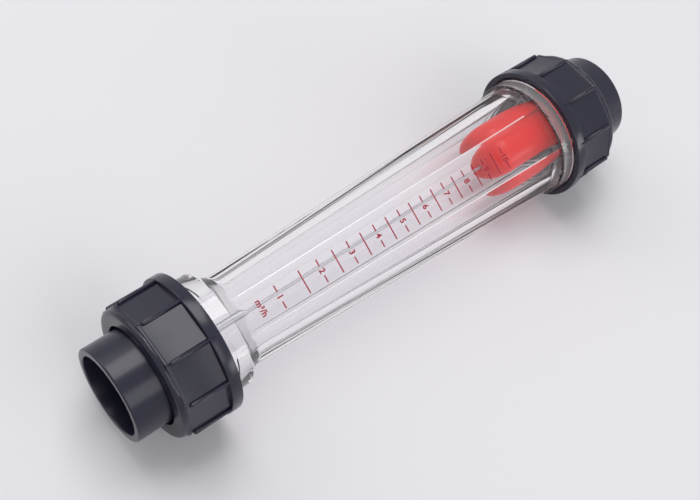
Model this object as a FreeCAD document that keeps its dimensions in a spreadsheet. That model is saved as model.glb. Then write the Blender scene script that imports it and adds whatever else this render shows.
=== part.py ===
import FreeCAD, Part
import math
import os
import re

import Sketcher

# In-line flow meter with a clear tapered tube, a float on a guide rod and a pipe union at each end.
# The flow axis runs along +X from the inlet mouth to the outlet mouth. +Z is up: the meter lies on
# one rib of each union nut, a little to either side of the bottom, which keeps it from rolling. The
# origin is under its middle, on the surface it lies on. Millimetres throughout.

SIZES = {
    # whole meter
    "total_length": 482.0,
    # how far a cut runs past a face, and a form into the one that it grows from
    "overrun": 1.0,
    # socket connectors for solvent-welded pipe
    "pipe_diameter": 63.0,
    "socket_depth": 37.0,
    "socket_wall": 5.8,
    "mouth_edge": 1.0,
    "connector_length": 40.0,
    "waterway_diameter": 53.0,
    "flange_diameter": 94.0,
    "flange_thickness": 7.0,
    "ring_groove_diameter": 87.0,
    "ring_section": 3.6,
    "ring_gap": 0.02,
    # union nuts
    "nut_length": 47.2,
    "nut_flats_across": 102.0,
    "nut_front_wall": 6.4,
    "nut_shoulder_depth": 3.4,
    "nut_shoulder_round": 2.6,
    "nut_opening_gap": 2.4,
    "nut_band_diameter": 111.3,
    "nut_band_width": 9.2,
    "nut_band_edge": 0.8,
    "nut_mouth_diameter": 103.6,
    "nut_mouth_depth": 5.0,
    "nut_rib_diameter": 111.7,
    "nut_rib_width": 3.4,
    "nut_rib_crest": 1.6,
    "nut_rib_bevel": 1.0,
    "nut_rib_setback": 3.4,
    "nut_clock": -13.55,
    # union thread, drawn as plain cylinders
    "thread_diameter": 95.0,
    "thread_length": 26.0,
    "thread_gap": 0.15,
    "thread_chamfer": 1.2,
    "thread_runout": 1.0,
    # metering tube
    "tube_flats_inlet": 70.1,
    "tube_flats_outlet": 89.5,
    "tube_flats_inset_inlet": 62.0,
    "tube_flats_inset_outlet": 50.0,
    "tube_clock": 0.95,
    "inlet_collar_diameter": 90.8,
    "inlet_collar_end": 50.0,
    "inlet_collar_step": 13.0,
    "collar_edge": 1.5,
    "collar_sink": 0.6,
    "outlet_collar_diameter": 98.6,
    "outlet_collar_start": 33.0,
    "outlet_collar_width": 11.0,
    "outlet_collar_flare": 16.0,
    "bore_inlet_diameter": 53.4,
    "bore_outlet_diameter": 76.8,
    "bore_straight_inlet": 75.0,
    "bore_straight_outlet": 40.0,
    # rod supports, seated in the two ends of the tube
    "seat_depth": 8.0,
    "seat_diameter_inlet": 66.0,
    "seat_diameter_outlet": 79.0,
    "seat_gap": 0.1,
    "support_rim_wall": 3.0,
    "support_hub_diameter": 13.0,
    "support_hub_length": 10.0,
    "support_hub_setback": 6.0,
    "support_hub_edge": 2.0,
    "support_arm_width": 3.0,
    "support_arm_length": 7.0,
    # guide rod and what is on it
    "rod_diameter": 4.0,
    "rod_gap": 0.1,
    "rod_end_spare": 1.0,
    "washer_diameter": 9.0,
    "washer_thickness": 0.8,
    "washer_gap": 0.5,
    "rod_nut_across": 7.0,
    "rod_nut_thickness": 3.2,
    "sleeve_diameter": 6.0,
    "inlet_sleeve_length": 58.4,
    "outlet_sleeve_length": 6.4,
    "stop_gap": 0.1,
    # float
    "float_diameter": 52.4,
    "float_length": 70.0,
    "float_nose_round": 18.2,
    "float_wall": 2.6,
    "float_core_wall": 2.0,
    "float_core_gap": 1.0,
    "float_lip": 3.0,
    "float_cap_thickness": 4.0,
    "float_cap_round": 1.5,
    "bush_diameter": 11.0,
    "bush_length": 9.0,
    "ballast_diameter": 42.0,
    "ballast_length": 32.0,
}
NUT_SIDES = 10
TUBE_SIDES = 8
SUPPORT_ARMS = 4

# The flow axis is as high over the floor as the lowest edge of a nut's rib, or its band, is far
# from the axis.
RIB_REACH = (
    "(nut_rib_diameter / 2 * cos(nut_clock * 1 deg)"
    " + nut_rib_crest / 2 * abs(sin(nut_clock * 1 deg)))"
)
AXIS_HEIGHT = "max(%s; nut_band_diameter / 2)" % RIB_REACH

doc = FreeCAD.newDocument("FlowMeter")
sheet = doc.addObject("Spreadsheet::Sheet", "Sizes")


def fill_sheet():
    """One row for each driving size: its name in column A, its value in column B."""
    for row, (name, value) in enumerate(SIZES.items(), start=1):
        sheet.set("A%d" % row, name)
        sheet.set("B%d" % row, str(value))
        sheet.setAlias("B%d" % row, name)
    doc.recompute()


def linked(formula):
    """Write a formula of size names as an expression on the sheet."""
    return re.sub(r"[a-z][a-z_]+", lambda word: _on_sheet(word.group()), formula)


def _on_sheet(word):
    return "Sizes." + word if word in SIZES else word


def bind(thing, target, formula):
    thing.setExpression(target, linked(formula))


def new_body(label):
    body = doc.addObject("PartDesign::Body", label)
    body.Label = label
    return body


def origin_item(body, role):
    return next(item for item in body.Origin.OriginFeatures if item.Role == role)


def new_sketch(body, name, plane="XY_Plane", offset=None):
    """A sketch on one of the body's own origin planes, moved along its normal by a formula."""
    sketch = body.newObject("Sketcher::SketchObject", name)
    sketch.AttachmentSupport = [(origin_item(body, plane), "")]
    sketch.MapMode = "FlatFace"
    if offset:
        bind(sketch, "AttachmentOffset.Base.z", offset)
    return sketch


def add_loop(sketch, corners):
    """A closed straight-sided outline. Each corner is two formulas: along the sketch, and up it."""
    first = sketch.GeometryCount
    count = len(corners)
    turn = 2 * math.pi / count
    rough = [FreeCAD.Vector(50 * math.cos(i * turn), 50 * math.sin(i * turn), 0) for i in range(count)]
    for i in range(count):
        sketch.addGeometry(Part.LineSegment(rough[i], rough[(i + 1) % count]))
    for i, (along, up) in enumerate(corners):
        line = first + i
        sketch.addConstraint(
            Sketcher.Constraint("Coincident", line, 2, first + (i + 1) % count, 1)
        )
        _place(sketch, line, "DistanceX", -2, along)
        _place(sketch, line, "DistanceY", -1, up)


def _place(sketch, line, kind, axis, formula):
    """Fix one coordinate of a line's start: on the axis, or at a bound distance from the origin."""
    if formula == "0":
        sketch.addConstraint(Sketcher.Constraint("PointOnObject", line, 1, axis))
        return
    index = sketch.addConstraint(Sketcher.Constraint(kind, -1, 1, line, 1, 10.0))
    bind(sketch, "Constraints[%d]" % index, formula)


def turned(body, name, corners, kind="PartDesign::Revolution"):
    """Revolve an outline of (station, radius) formulas round the flow axis, or cut it away."""
    sketch = new_sketch(body, name + "_outline")
    add_loop(sketch, corners)
    feature = body.newObject(kind, name)
    feature.Profile = sketch
    feature.ReferenceAxis = (sketch, ["H_Axis"])
    feature.Angle = 360.0
    return feature


def bored(body, name, corners):
    return turned(body, name, corners, "PartDesign::Groove")


def polygon(body, name, sides, across_flats, offset):
    """A regular polygon across the flow axis, with a corner straight up."""
    sketch = new_sketch(body, name, "YZ_Plane", offset)
    step = 2 * math.pi / sides
    points = [
        FreeCAD.Vector(40 * math.sin(i * step), 40 * math.cos(i * step), 0) for i in range(sides)
    ]
    for i in range(sides):
        sketch.addGeometry(Part.LineSegment(points[i], points[(i + 1) % sides]))
    circle = sketch.addGeometry(
        Part.Circle(FreeCAD.Vector(0, 0, 0), FreeCAD.Vector(0, 0, 1), 40), True
    )
    sketch.addConstraint(Sketcher.Constraint("Coincident", circle, 3, -1, 1))
    for i in range(sides):
        sketch.addConstraint(Sketcher.Constraint("Coincident", i, 2, (i + 1) % sides, 1))
        sketch.addConstraint(Sketcher.Constraint("PointOnObject", i, 1, circle))
        if i:
            sketch.addConstraint(Sketcher.Constraint("Equal", 0, i))
    sketch.addConstraint(Sketcher.Constraint("PointOnObject", 0, 1, -2))
    size = sketch.addConstraint(Sketcher.Constraint("Radius", circle, 40.0))
    bind(sketch, "Constraints[%d]" % size, "(%s) / 2 / cos(%g deg)" % (across_flats, 180 / sides))
    return sketch


def rectangle(body, name, plane, offset, low, high):
    """A rectangle from one corner to the other, each corner two formulas."""
    sketch = new_sketch(body, name, plane, offset)
    add_loop(sketch, [(low[0], low[1]), (high[0], low[1]), (high[0], high[1]), (low[0], high[1])])
    return sketch


def padded(body, name, sketch, length, reversed_side=False):
    pad = body.newObject("PartDesign::Pad", name)
    pad.Profile = sketch
    pad.Reversed = reversed_side
    bind(pad, "Length", length)
    return pad


def repeated(body, name, feature, count):
    """Repeat a feature evenly round the flow axis."""
    pattern = body.newObject("PartDesign::PolarPattern", name)
    pattern.Originals = [feature]
    pattern.Axis = (origin_item(body, "X_Axis"), [""])
    pattern.Angle = 360.0
    pattern.Occurrences = count
    body.Tip = pattern
    return pattern


def round_edges(body, name, radius_formula, chosen):
    """Fillet the circular edges for which chosen(centre station, radius) is true."""
    doc.recompute()
    base = body.Tip
    names = []
    for number, edge in enumerate(base.Shape.Edges, start=1):
        if isinstance(edge.Curve, Part.Circle) and edge.isClosed():
            if chosen(edge.Curve.Center.x, edge.Curve.Radius):
                names.append("Edge%d" % number)
    fillet = body.newObject("PartDesign::Fillet", name)
    fillet.Base = (base, names)
    bind(fillet, "Radius", radius_formula)
    return fillet


def size(name):
    return float(sheet.get(name))


def near(value, target):
    return abs(value - target) < 0.01


def put(body, station, clock=0.0, facing=1):
    """Set a piece on the flow axis: its own zero at a station, turned about the axis by clock
    degrees. Pieces of the outlet end face the other way, so they are turned half round."""
    spin = FreeCAD.Rotation(FreeCAD.Vector(1, 0, 0), clock)
    if facing < 0:
        spin = FreeCAD.Rotation(FreeCAD.Vector(0, 0, 1), 180) * spin
    body.Placement = FreeCAD.Placement(FreeCAD.Vector(0, 0, 0), spin)
    bind(body, "Placement.Base.x", station)
    bind(body, "Placement.Base.z", AXIS_HEIGHT)


# ---- connectors, from the mouth at zero inwards to the sealing face ----


def make_connector(label, station, facing):
    body = new_body(label)
    outer = "pipe_diameter / 2 + socket_wall"
    turned(body, label + "_turned", [
        ("0", "pipe_diameter / 2"),
        ("0", outer + " - mouth_edge"),
        ("mouth_edge", outer),
        ("connector_length - flange_thickness", outer),
        ("connector_length - flange_thickness", "flange_diameter / 2"),
        ("connector_length", "flange_diameter / 2"),
        ("connector_length", "waterway_diameter / 2"),
        ("socket_depth", "waterway_diameter / 2"),
        ("socket_depth", "pipe_diameter / 2"),
    ])
    inner = "ring_groove_diameter / 2 - ring_section / 2"
    outside = "ring_groove_diameter / 2 + ring_section / 2"
    depth = "connector_length - ring_section - ring_gap"
    bored(body, label + "_ring_groove", [
        (depth, inner),
        (depth, outside),
        ("connector_length + overrun", outside),
        ("connector_length + overrun", inner),
    ])
    put(body, station, facing=facing)
    return body


def make_o_ring(label, station, facing):
    """The ring fills its groove and stands flush with the sealing face."""
    ring = doc.addObject("Part::Torus", label)
    ring.Label = label
    bind(ring, "Radius1", "ring_groove_diameter / 2")
    bind(ring, "Radius2", "ring_section / 2")
    centre = "(connector_length - ring_section / 2 - ring_gap / 2)"
    across = FreeCAD.Rotation(FreeCAD.Vector(0, 1, 0), 90)
    ring.Placement = FreeCAD.Placement(FreeCAD.Vector(0, 0, 0), across)
    sign = "+" if facing > 0 else "-"
    bind(ring, "Placement.Base.x", "%s %s %s" % (station, sign, centre))
    bind(ring, "Placement.Base.z", AXIS_HEIGHT)
    return ring


# ---- union nuts, from the mouth of the connector at zero inwards ----

NUT_FRONT = "(connector_length - flange_thickness - nut_front_wall)"
NUT_FACE = "(%s + nut_length)" % NUT_FRONT
PANEL_FRONT = "(%s + nut_shoulder_depth)" % NUT_FRONT


def make_union_nut(label, station, clock, facing):
    """A ten-sided moulding: flat panels with a rib at each corner, a round band at the tube end and
    a rounded shoulder at the pipe end. Its inner shoulder pulls on the connector's flange."""
    body = new_body(label)
    shape = polygon(body, label + "_decagon", NUT_SIDES, "nut_flats_across", PANEL_FRONT)
    padded(body, label + "_panels", shape, "nut_length - nut_shoulder_depth - nut_band_width / 2")
    turned(body, label + "_shoulder", [
        (NUT_FRONT, "0"),
        (NUT_FRONT, "nut_flats_across / 2"),
        (PANEL_FRONT + " + overrun", "nut_flats_across / 2"),
        (PANEL_FRONT + " + overrun", "0"),
    ])
    turned(body, label + "_band", [
        (NUT_FACE + " - nut_band_width", "0"),
        (NUT_FACE + " - nut_band_width", "nut_band_diameter / 2"),
        (NUT_FACE + " - nut_band_edge", "nut_band_diameter / 2"),
        (NUT_FACE, "nut_band_diameter / 2 - nut_band_edge"),
        (NUT_FACE, "0"),
    ])
    front = size("connector_length") - size("flange_thickness") - size("nut_front_wall")
    round_edges(body, label + "_shoulder_round", "nut_shoulder_round", lambda x, r: near(x, front))
    rib = new_sketch(
        body, label + "_rib_section", "YZ_Plane", PANEL_FRONT + " + nut_rib_setback"
    )
    add_loop(rib, [
        ("-nut_rib_width / 2", "nut_flats_across / 2 - overrun"),
        ("nut_rib_width / 2", "nut_flats_across / 2 - overrun"),
        ("nut_rib_width / 2", "nut_rib_diameter / 2 - nut_rib_bevel"),
        ("nut_rib_crest / 2", "nut_rib_diameter / 2"),
        ("-nut_rib_crest / 2", "nut_rib_diameter / 2"),
        ("-nut_rib_width / 2", "nut_rib_diameter / 2 - nut_rib_bevel"),
    ])
    run = "nut_length - nut_shoulder_depth - nut_rib_setback - nut_band_width / 2"
    first = padded(body, label + "_rib", rib, run)
    repeated(body, label + "_ribs", first, NUT_SIDES)
    opening = "(pipe_diameter / 2 + socket_wall + nut_opening_gap)"
    bored(body, label + "_opening", [
        (NUT_FRONT + " - overrun", "0"),
        (NUT_FRONT + " - overrun", opening),
        ("connector_length - flange_thickness", opening),
        ("connector_length - flange_thickness", "thread_diameter / 2 + thread_gap"),
        (NUT_FACE + " - nut_mouth_depth", "thread_diameter / 2 + thread_gap"),
        (NUT_FACE, "nut_mouth_diameter / 2"),
        (NUT_FACE + " + overrun", "nut_mouth_diameter / 2"),
        (NUT_FACE + " + overrun", "0"),
    ])
    put(body, station, clock, facing)
    return body


# ---- metering tube, from its inlet face at zero to its outlet face ----

TUBE_LENGTH = "(total_length - 2 * connector_length)"


def make_metering_tube():
    """An eight-sided tapered tube with a round collar and thread at each end. The bore tapers, so
    that the ring-shaped gap round the float grows with the flow."""
    body = new_body("metering_tube")
    low = polygon(body, "tube_flats_low", TUBE_SIDES, "tube_flats_inlet", "tube_flats_inset_inlet")
    high = polygon(
        body, "tube_flats_high", TUBE_SIDES, "tube_flats_outlet",
        TUBE_LENGTH + " - tube_flats_inset_outlet",
    )
    loft = body.newObject("PartDesign::AdditiveLoft", "tube_flats")
    loft.Profile = low
    loft.Sections = [high]
    loft.Ruled = True
    turned(body, "tube_inlet_collar", [
        ("0", "0"),
        ("0", "thread_diameter / 2 - thread_chamfer"),
        ("thread_chamfer", "thread_diameter / 2"),
        ("thread_length", "thread_diameter / 2"),
        ("thread_length + thread_runout", "inlet_collar_diameter / 2"),
        ("inlet_collar_end - collar_edge", "inlet_collar_diameter / 2"),
        ("inlet_collar_end", "inlet_collar_diameter / 2 - collar_edge"),
        ("inlet_collar_end + inlet_collar_step", "tube_flats_inlet / 2 - collar_sink"),
        ("inlet_collar_end + inlet_collar_step", "0"),
    ])
    collar_end = TUBE_LENGTH + " - outlet_collar_start - outlet_collar_width"
    turned(body, "tube_outlet_collar", [
        (TUBE_LENGTH, "0"),
        (TUBE_LENGTH, "thread_diameter / 2 - thread_chamfer"),
        (TUBE_LENGTH + " - thread_chamfer", "thread_diameter / 2"),
        (TUBE_LENGTH + " - outlet_collar_start + thread_runout", "thread_diameter / 2"),
        (TUBE_LENGTH + " - outlet_collar_start", "outlet_collar_diameter / 2"),
        (collar_end, "outlet_collar_diameter / 2"),
        (collar_end + " - outlet_collar_flare", "tube_flats_outlet / 2 - collar_sink"),
        (collar_end + " - outlet_collar_flare", "0"),
    ])
    bored(body, "tube_bore", [
        ("-overrun", "0"),
        ("-overrun", "seat_diameter_inlet / 2"),
        ("seat_depth", "seat_diameter_inlet / 2"),
        ("seat_depth", "bore_inlet_diameter / 2"),
        ("bore_straight_inlet", "bore_inlet_diameter / 2"),
        (TUBE_LENGTH + " - bore_straight_outlet", "bore_outlet_diameter / 2"),
        (TUBE_LENGTH + " - seat_depth", "bore_outlet_diameter / 2"),
        (TUBE_LENGTH + " - seat_depth", "seat_diameter_outlet / 2"),
        (TUBE_LENGTH + " + overrun", "seat_diameter_outlet / 2"),
        (TUBE_LENGTH + " + overrun", "0"),
    ])
    put(body, "connector_length - total_length / 2", size("tube_clock"))
    return body


# ---- rod supports, from the sealing face at zero inwards ----


def make_rod_support(label, seat_diameter, station, facing):
    """A rim that the connector's face keeps in its seat, four arms, and a hub for the rod."""
    body = new_body(label)
    rim = "(%s / 2 - seat_gap)" % seat_diameter
    turned(body, label + "_rim", [
        ("0", rim + " - support_rim_wall"),
        ("0", rim),
        ("seat_depth", rim),
        ("seat_depth", rim + " - support_rim_wall"),
    ])
    arm = rectangle(
        body, label + "_arm_section", "YZ_Plane", "seat_depth - support_arm_length",
        ("-support_arm_width / 2", "washer_diameter / 2 + washer_gap"),
        ("support_arm_width / 2", rim + " - support_rim_wall / 2"),
    )
    first = padded(body, label + "_arm", arm, "support_arm_length")
    repeated(body, label + "_arms", first, SUPPORT_ARMS)
    turned(body, label + "_hub", [
        ("support_hub_setback", "0"),
        ("support_hub_setback", "support_hub_diameter / 2"),
        ("support_hub_setback + support_hub_length - support_hub_edge", "support_hub_diameter / 2"),
        ("support_hub_setback + support_hub_length", "support_hub_diameter / 2 - support_hub_edge"),
        ("support_hub_setback + support_hub_length", "0"),
    ])
    bored(body, label + "_rod_hole", [
        ("support_hub_setback - overrun", "0"),
        ("support_hub_setback - overrun", "rod_diameter / 2"),
        ("support_hub_setback + support_hub_length + overrun", "rod_diameter / 2"),
        ("support_hub_setback + support_hub_length + overrun", "0"),
    ])
    put(body, station, facing=facing)
    return body


def make_tube_piece(label, station, facing, outer_diameter, length, hole="rod_diameter"):
    """A plain bushed cylinder on the rod: a washer or a stop sleeve."""
    body = new_body(label)
    turned(body, label + "_turned", [
        ("0", hole + " / 2"),
        ("0", outer_diameter + " / 2"),
        (length, outer_diameter + " / 2"),
        (length, hole + " / 2"),
    ])
    put(body, station, facing=facing)
    return body


def make_rod_nut(label, station, facing):
    body = new_body(label)
    shape = polygon(body, label + "_hexagon", 6, "rod_nut_across", "0 mm")
    padded(body, label + "_blank", shape, "rod_nut_thickness")
    bored(body, label + "_hole", [
        ("-overrun", "0"),
        ("-overrun", "rod_diameter / 2"),
        ("rod_nut_thickness + overrun", "rod_diameter / 2"),
        ("rod_nut_thickness + overrun", "0"),
    ])
    put(body, station, facing=facing)
    return body


# Where things on the rod lie, measured inwards from the sealing face of their own end.
WASHER_AT = "(support_hub_setback - washer_thickness)"
ROD_NUT_AT = "(support_hub_setback - washer_thickness - rod_nut_thickness)"
ROD_END_AT = "(%s - rod_end_spare)" % ROD_NUT_AT
HUB_INNER = "(support_hub_setback + support_hub_length)"
INLET_FACE = "(connector_length - total_length / 2)"
OUTLET_FACE = "(total_length / 2 - connector_length)"
FLOAT_TAIL = "(%s - %s - outlet_sleeve_length - stop_gap)" % (OUTLET_FACE, HUB_INNER)
FLOAT_NOSE = "(%s - float_length)" % FLOAT_TAIL


def make_guide_rod():
    rod = doc.addObject("Part::Cylinder", "guide_rod")
    rod.Label = "guide_rod"
    bind(rod, "Radius", "rod_diameter / 2")
    bind(rod, "Height", "%s - 2 * %s" % (TUBE_LENGTH, ROD_END_AT))
    along = FreeCAD.Rotation(FreeCAD.Vector(0, 1, 0), 90)
    rod.Placement = FreeCAD.Placement(FreeCAD.Vector(0, 0, 0), along)
    bind(rod, "Placement.Base.x", "%s + %s" % (INLET_FACE, ROD_END_AT))
    bind(rod, "Placement.Base.z", AXIS_HEIGHT)
    return rod


# ---- float, from its nose at zero to its tail ----

CORE = "(bush_diameter / 2 + float_core_wall)"


def make_float_shell():
    """A bullet-shaped moulding, open at the tail, with a core tube that holds the two bushes."""
    body = new_body("float_shell")
    turned(body, "float_body", [
        ("0", "0"),
        ("0", "float_diameter / 2"),
        ("float_length - float_cap_thickness", "float_diameter / 2"),
        ("float_length - float_cap_thickness", "0"),
    ])
    outer = size("float_diameter") / 2
    round_edges(
        body, "float_nose", "float_nose_round", lambda x, r: near(x, 0) and near(r, outer)
    )
    bored(body, "float_cavity", [
        ("float_nose_round", CORE),
        ("float_nose_round", "float_diameter / 2 - float_wall"),
        ("float_length", "float_diameter / 2 - float_wall"),
        ("float_length", CORE),
    ])
    bored(body, "float_core_bore", [
        ("-overrun", "0"),
        ("-overrun", "bush_diameter / 2"),
        ("bush_length", "bush_diameter / 2"),
        ("bush_length", "rod_diameter / 2 + float_core_gap"),
        ("float_length - bush_length", "rod_diameter / 2 + float_core_gap"),
        ("float_length - bush_length", "bush_diameter / 2"),
        ("float_length", "bush_diameter / 2"),
        ("float_length", "0"),
    ])
    put(body, FLOAT_NOSE)
    return body


def make_float_ballast():
    """A steel ring on the core tube, against the bottom of the cavity."""
    return make_ring_on_float(
        "float_ballast", FLOAT_NOSE + " + float_nose_round", CORE, "ballast_diameter / 2",
        "ballast_length",
    )


def make_ring_on_float(label, station, inner, outer, length):
    body = new_body(label)
    turned(body, label + "_turned", [("0", inner), ("0", outer), (length, outer), (length, inner)])
    put(body, station)
    return body


def make_float_cap():
    """The lid of the shell, with a lip inside it."""
    body = new_body("float_cap")
    lip = "(float_diameter / 2 - float_wall)"
    turned(body, "float_cap_turned", [
        ("0", CORE),
        ("0", lip),
        ("float_lip", lip),
        ("float_lip", "float_diameter / 2"),
        ("float_lip + float_cap_thickness - float_cap_round", "float_diameter / 2"),
        ("float_lip + float_cap_thickness", "float_diameter / 2 - float_cap_round"),
        ("float_lip + float_cap_thickness", "bush_diameter / 2"),
        ("float_lip", "bush_diameter / 2"),
        ("float_lip", CORE),
    ])
    put(body, FLOAT_TAIL + " - float_cap_thickness - float_lip")
    return body


def make_bush(label, station):
    return make_ring_on_float(
        label, station, "(rod_diameter / 2 + rod_gap)", "bush_diameter / 2", "bush_length"
    )


def make_all():
    mouths = (("inlet", "-total_length / 2", 1), ("outlet", "total_length / 2", -1))
    pieces = [make_metering_tube(), make_guide_rod()]
    for end, mouth, facing in mouths:
        face = INLET_FACE if facing > 0 else OUTLET_FACE
        step = " + " if facing > 0 else " - "
        pieces += [
            make_connector(end + "_connector", mouth, facing),
            make_o_ring(end + "_o_ring", mouth, facing),
            make_union_nut(end + "_union_nut", mouth, size("nut_clock"), facing),
            make_rod_support(end + "_rod_support", "seat_diameter_" + end, face, facing),
            make_tube_piece(
                end + "_rod_washer", face + step + WASHER_AT, facing,
                "washer_diameter", "washer_thickness",
            ),
            make_rod_nut(end + "_rod_nut", face + step + ROD_NUT_AT, facing),
        ]
    pieces += [
        make_tube_piece(
            "inlet_stop_sleeve", INLET_FACE + " + " + HUB_INNER, 1,
            "sleeve_diameter", "inlet_sleeve_length",
        ),
        make_tube_piece(
            "outlet_stop_sleeve", OUTLET_FACE + " - " + HUB_INNER, -1,
            "sleeve_diameter", "outlet_sleeve_length",
        ),
        make_float_shell(),
        make_float_ballast(),
        make_float_cap(),
        make_bush("float_nose_bush", FLOAT_NOSE),
        make_bush("float_tail_bush", FLOAT_TAIL + " - bush_length"),
    ]
    return pieces


def check(pieces):
    for thing in doc.Objects:
        for word in ("Invalid", "Error"):
            if word in thing.State:
                raise RuntimeError("%s is %s" % (thing.Label, word))
    for piece in pieces:
        shape = piece.Shape
        if shape.isNull() or not shape.isValid() or not shape.Solids:
            raise RuntimeError(piece.Label + " has no valid solid")


def export(pieces):
    os.makedirs("parts", exist_ok=True)
    for piece in pieces:
        box = piece.Shape.BoundBox
        print("%-20s volume %10.1f  x %8.2f to %8.2f  radius %6.2f" % (
            piece.Label, piece.Shape.Volume, box.XMin, box.XMax, box.YLength / 2))
        piece.Shape.exportStep("parts/%s.step" % piece.Label)


fill_sheet()
meter = make_all()
doc.recompute()
check(meter)
export(meter)
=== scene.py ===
"""An in-line flow meter with a clear tapered tube, a red float on its rod and two union connectors.

Each piece is an operator, its sizes and colours are properties, and main() makes the whole meter.
"""

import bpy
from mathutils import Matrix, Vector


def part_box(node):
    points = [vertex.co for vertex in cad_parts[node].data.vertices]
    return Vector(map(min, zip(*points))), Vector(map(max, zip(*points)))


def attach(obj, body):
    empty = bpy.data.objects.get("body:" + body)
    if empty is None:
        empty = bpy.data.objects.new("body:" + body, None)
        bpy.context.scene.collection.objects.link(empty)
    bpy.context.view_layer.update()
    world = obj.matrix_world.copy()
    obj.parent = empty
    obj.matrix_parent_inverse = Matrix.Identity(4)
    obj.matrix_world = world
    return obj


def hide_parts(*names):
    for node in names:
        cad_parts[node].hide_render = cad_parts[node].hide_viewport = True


bl_info = {
    "name": "In-line Flow Meter",
    "version": (1, 0, 0),
    "blender": (4, 5, 0),
    "location": "View3D > Sidebar > Flow Meter",
    "description": "Builds a clear-tube flow meter with its float, unions, scale and studio",
    "category": "Add Mesh",
}

import math

import bmesh
import bpy
import numpy as np
from bpy.props import FloatProperty, FloatVectorProperty, IntProperty, PointerProperty
from mathutils import Matrix, Vector

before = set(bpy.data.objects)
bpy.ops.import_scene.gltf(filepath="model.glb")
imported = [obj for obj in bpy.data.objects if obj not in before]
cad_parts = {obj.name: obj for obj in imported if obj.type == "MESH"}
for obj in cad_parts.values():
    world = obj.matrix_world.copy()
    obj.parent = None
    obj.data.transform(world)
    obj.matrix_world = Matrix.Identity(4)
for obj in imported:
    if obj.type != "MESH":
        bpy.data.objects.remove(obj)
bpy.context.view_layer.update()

MM = 0.001
ROD_LOW, ROD_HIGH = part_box("guide_rod")
AXIS_Z = (ROD_LOW[2] + ROD_HIGH[2]) / 2
TUBE_LOW, TUBE_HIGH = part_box("metering_tube")
TUBE_LENGTH = TUBE_HIGH[0] - TUBE_LOW[0]
INLET_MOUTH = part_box("inlet_connector")[0][0]
OUTLET_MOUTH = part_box("outlet_connector")[1][0]
FLOAT_LOW, FLOAT_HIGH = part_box("float_shell")
CAP_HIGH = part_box("float_cap")[1]


# ---- sizes and colours ----


def length(value, text):
    """A length property whose default is given in millimetres."""
    return FloatProperty(description=text, default=value * MM, unit="LENGTH", precision=5)


def angle(value, text):
    """An angle property whose default is given in degrees."""
    return FloatProperty(description=text, default=math.radians(value), unit="ROTATION")


def count(value, text):
    return IntProperty(description=text, default=value, min=1)


def plain(value, text):
    return FloatProperty(description=text, default=value, precision=4)


def vector(value, text):
    return FloatVectorProperty(description=text, default=value, size=3, precision=4)


def colour(value, text):
    return FloatVectorProperty(description=text, default=value, size=3, subtype="COLOR",
                               min=0, max=1)


class UnionSizes(bpy.types.PropertyGroup):
    """The union at either end, measured inwards from the mouth of its connector."""

    socket: length(63.0, "Bore of the pipe socket")
    socket_depth: length(37.0, "How far the pipe goes in")
    socket_outside: length(74.6, "Diameter of the connector's outside")
    waterway: length(53.0, "Bore past the pipe's stop")
    flange: length(94.0, "Diameter of the flange behind the nut")
    flange_front: length(33.0, "Where the flange begins")
    face: length(40.0, "Where the connector meets the tube")
    groove: length(87.0, "Diameter of the seal's groove, at its middle")
    groove_width: length(3.6, "Width of the seal's groove")
    front: length(26.6, "Where the nut begins")
    back: length(73.8, "Where the nut ends")
    opening: length(79.4, "Hole in the nut round the connector")
    flats: length(102.0, "Distance across the nut's panels")
    sides: count(10, "Number of panels and of ribs")
    clock: angle(-13.55, "How far the ribs are turned from straight up")
    shoulder: length(103.0, "Diameter of the rounded front end")
    shoulder_round: length(3.0, "Radius of the front edge")
    panel_front: length(30.2, "Where the panels begin")
    panel_round: length(2.2, "Roundness of the corners between the panels")
    lip_width: length(2.2, "Width of the lip along each panel's front")
    lip_height: length(0.45, "Height of that lip over the panel")
    band: length(111.3, "Diameter of the round band at the tube end")
    band_width: length(9.2, "Width of the band")
    band_round: length(0.9, "Roundness of the band's edges")
    rib_crest: length(111.7, "Diameter over the ribs")
    rib_radius: length(1.75, "Radius of a rib's round top")
    rib_front: length(33.6, "Where the ribs begin")
    mouth: length(103.6, "Width of the nut's open end")
    mouth_depth: length(5.0, "Depth of its cone")
    thread: length(95.0, "Outer diameter of the union thread")
    thread_gap: length(0.15, "Clearance of the thread")
    thread_depth: length(1.5, "Height of the thread")
    pitch: length(5.0, "Advance for each turn of the nut")
    ridge: length(1.0, "Half thickness of the nut's thread")
    ridge_start: length(1.0, "Where the nut's thread begins, past the tube's face")
    ridge_stop: length(0.5, "How far before its mouth's cone it ends")


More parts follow.
